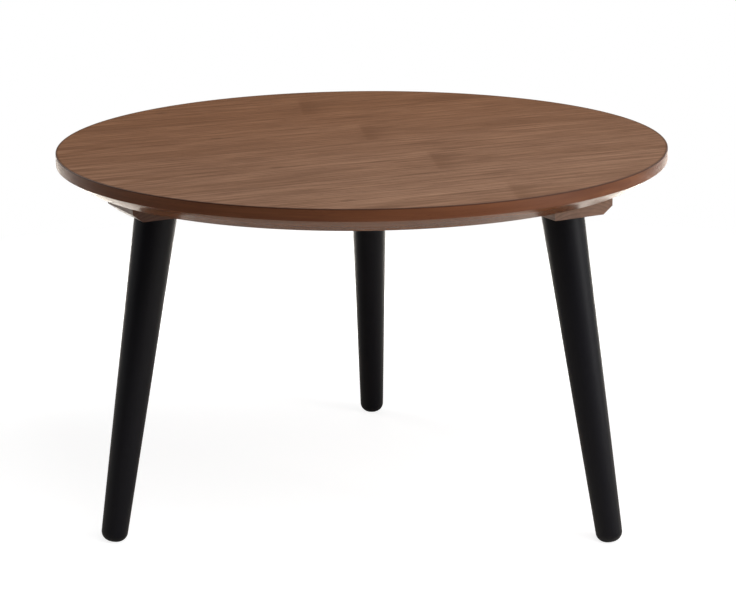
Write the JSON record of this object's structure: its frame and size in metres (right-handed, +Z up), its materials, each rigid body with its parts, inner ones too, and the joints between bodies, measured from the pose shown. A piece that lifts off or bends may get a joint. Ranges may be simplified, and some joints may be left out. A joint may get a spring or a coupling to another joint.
{
  "type": "round cocktail table",
  "caption": "Low round walnut-veneered table with an under-cut rim on splayed, tapered black legs; the legs unscrew from battens under the top.",
  "frame": {"origin": "on the floor under the centre of the round top", "axes": "+Z up, +Y towards the rear leg, +X to the right as seen from the front"},
  "size_m": [0.7499, 0.75, 0.457],
  "materials": {
    "walnut_face": "satin lacquer over walnut veneer",
    "walnut_edge": "satin lacquer over walnut band",
    "walnut_back": "sealed walnut veneer",
    "walnut_batten": "satin lacquered solid wood",
    "core_board": "raw fibre board",
    "black_lacquer": "satin black lacquer over turned wood",
    "zinc_steel": "zinc-plated steel"
  },
  "bodies": {
    "root": {"top_core": "core_board", "face_veneer": "walnut_face", "edge_band": "walnut_edge", "bevel_band": "walnut_edge", "back_veneer": "walnut_back", "long_batten": "walnut_batten", "short_batten": "walnut_batten", "long_batten_screws": "zinc_steel", "short_batten_screws": "zinc_steel", "leg_left": "black_lacquer", "hanger_bolt_left": "zinc_steel", "threaded_insert_left": "zinc_steel", "leg_right": "black_lacquer", "hanger_bolt_right": "zinc_steel", "threaded_insert_right": "zinc_steel", "leg_rear": "black_lacquer", "hanger_bolt_rear": "zinc_steel", "threaded_insert_rear": "zinc_steel"}
  },
  "joints": []
}
